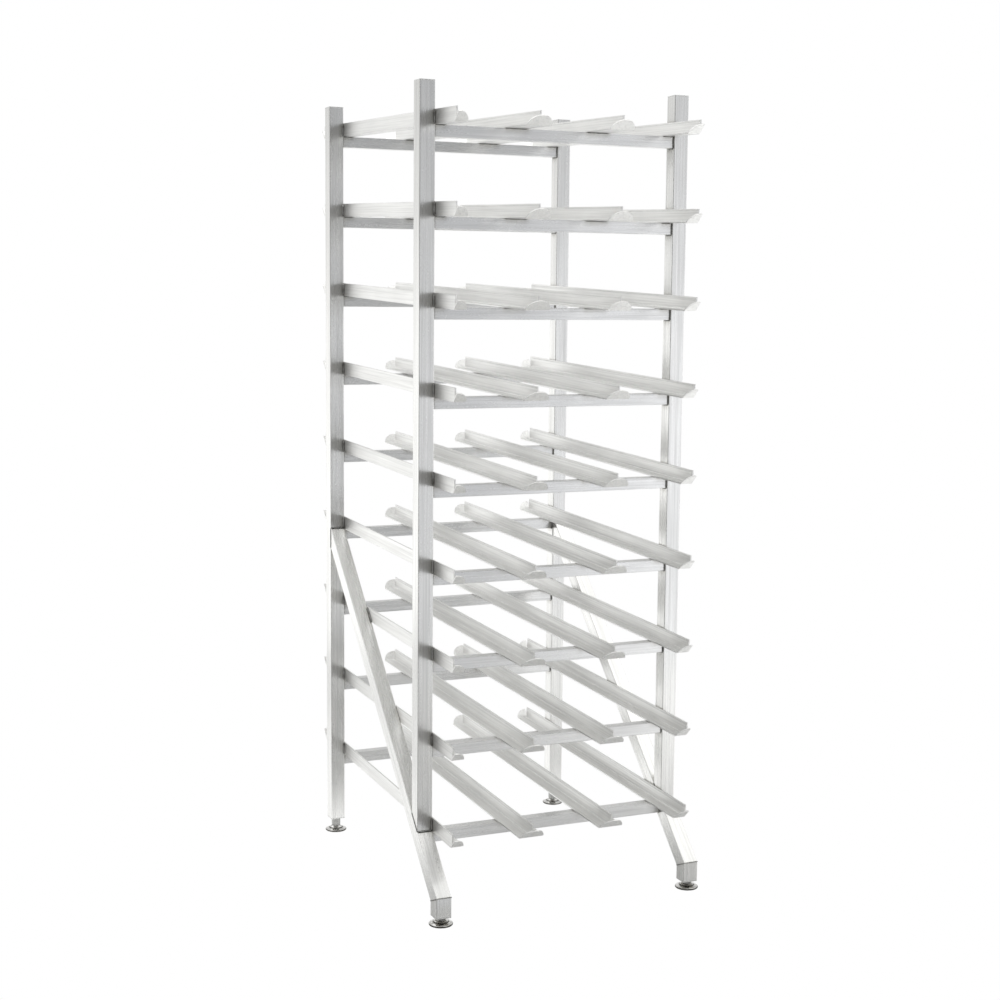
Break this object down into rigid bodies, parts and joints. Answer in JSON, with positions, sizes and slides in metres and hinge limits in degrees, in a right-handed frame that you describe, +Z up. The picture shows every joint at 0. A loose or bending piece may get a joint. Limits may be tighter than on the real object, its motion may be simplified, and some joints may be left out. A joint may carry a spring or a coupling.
{
  "type": "gravity-feed can storage rack",
  "caption": "Stationary welded aluminium storage rack with tiers of sloping rails that feed large cans from the back to the front, on screw-adjustable levelling feet.",
  "frame": {"origin": "on the floor under the middle of the rack's overall length and width", "axes": "+X to the rack's right seen from the front, -Y out of the front where cans are taken, +Y to the back where cans are loaded, +Z up"},
  "size_m": [0.666, 0.8952, 1.806],
  "materials": {
    "frame_tube": "mill finish square tube with a fine lengthwise grain",
    "crossbar_tube": "mill finish square tube with a fine lengthwise grain",
    "rail_extrusion": "satin mill finish extrusion with faint die lines",
    "foot_chrome": "polished plate",
    "stem_steel": "zinc plated, turned"
  },
  "bodies": {
    "rack": {"post_front_left": "frame_tube", "post_front_right": "frame_tube", "post_rear_left": "frame_tube", "post_rear_right": "frame_tube", "post_caps": "frame_tube", "brace_left": "frame_tube", "brace_right": "frame_tube", "front_leg_left": "frame_tube", "front_leg_right": "frame_tube", "front_crossbars": "crossbar_tube", "rear_crossbars": "crossbar_tube", "foot_socket_front_left": "frame_tube", "foot_socket_front_right": "frame_tube", "foot_socket_rear_left": "frame_tube", "foot_socket_rear_right": "frame_tube", "rail_left_1": "rail_extrusion", "rail_left_2": "rail_extrusion", "rail_left_3": "rail_extrusion", "rail_left_4": "rail_extrusion", "rail_left_5": "rail_extrusion", "rail_left_6": "rail_extrusion", "rail_left_7": "rail_extrusion", "rail_left_8": "rail_extrusion", "rail_left_9": "rail_extrusion", "divider_left_1": "rail_extrusion", "divider_left_2": "rail_extrusion", "divider_left_3": "rail_extrusion", "divider_left_4": "rail_extrusion", "divider_left_5": "rail_extrusion", "divider_left_6": "rail_extrusion", "divider_left_7": "rail_extrusion", "divider_left_8": "rail_extrusion", "divider_left_9": "rail_extrusion", "divider_right_1": "rail_extrusion", "divider_right_2": "rail_extrusion", "divider_right_3": "rail_extrusion", "divider_right_4": "rail_extrusion", "divider_right_5": "rail_extrusion", "divider_right_6": "rail_extrusion", "divider_right_7": "rail_extrusion", "divider_right_8": "rail_extrusion", "divider_right_9": "rail_extrusion", "rail_right_1": "rail_extrusion", "rail_right_2": "rail_extrusion", "rail_right_3": "rail_extrusion", "rail_right_4": "rail_extrusion", "rail_right_5": "rail_extrusion", "rail_right_6": "rail_extrusion", "rail_right_7": "rail_extrusion", "rail_right_8": "rail_extrusion", "rail_right_9": "rail_extrusion"},
    "pad_front_left": {"foot_pad_front_left": "foot_chrome"},
    "stem_front_left": {"foot_stem_front_left": "stem_steel"},
    "pad_front_right": {"foot_pad_front_right": "foot_chrome"},
    "stem_front_right": {"foot_stem_front_right": "stem_steel"},
    "pad_rear_left": {"foot_pad_rear_left": "foot_chrome"},
    "stem_rear_left": {"foot_stem_rear_left": "stem_steel"},
    "pad_rear_right": {"foot_pad_rear_right": "foot_chrome"},
    "stem_rear_right": {"foot_stem_rear_right": "stem_steel"}
  },
  "joints": [
    {"name": "pad_slide_front_left", "type": "slide", "parent": "rack", "child": "pad_front_left", "axis": [0, 0, 1], "range_m": [-0.024, 0]},
    {"name": "stem_turn_front_left", "type": "hinge", "parent": "pad_front_left", "child": "stem_front_left", "pos_m": [-0.3065, -0.415, 0.03], "axis": [0, 0, 1], "range_deg": [-5760, 0]},
    {"name": "pad_slide_front_right", "type": "slide", "parent": "rack", "child": "pad_front_right", "axis": [0, 0, 1], "range_m": [-0.024, 0]},
    {"name": "stem_turn_front_right", "type": "hinge", "parent": "pad_front_right", "child": "stem_front_right", "pos_m": [0.3065, -0.415, 0.03], "axis": [0, 0, 1], "range_deg": [-5760, 0]},
    {"name": "pad_slide_rear_left", "type": "slide", "parent": "rack", "child": "pad_rear_left", "axis": [0, 0, 1], "range_m": [-0.009, 0.015]},
    {"name": "stem_turn_rear_left", "type": "hinge", "parent": "pad_rear_left", "child": "stem_rear_left", "pos_m": [-0.3065, 0.3, 0.03], "axis": [0, 0, 1], "range_deg": [-2160, 3600]},
    {"name": "pad_slide_rear_right", "type": "slide", "parent": "rack", "child": "pad_rear_right", "axis": [0, 0, 1], "range_m": [-0.009, 0.015]},
    {"name": "stem_turn_rear_right", "type": "hinge", "parent": "pad_rear_right", "child": "stem_rear_right", "pos_m": [0.3065, 0.3, 0.03], "axis": [0, 0, 1], "range_deg": [-2160, 3600]}
  ],
  "couplings": [
    {"joint": "stem_turn_front_left", "follows": "pad_slide_front_left", "rad_per_m": 4188.8},
    {"joint": "stem_turn_front_right", "follows": "pad_slide_front_right", "rad_per_m": 4188.8},
    {"joint": "stem_turn_rear_left", "follows": "pad_slide_rear_left", "rad_per_m": 4188.8},
    {"joint": "stem_turn_rear_right", "follows": "pad_slide_rear_right", "rad_per_m": 4188.8}
  ]
}
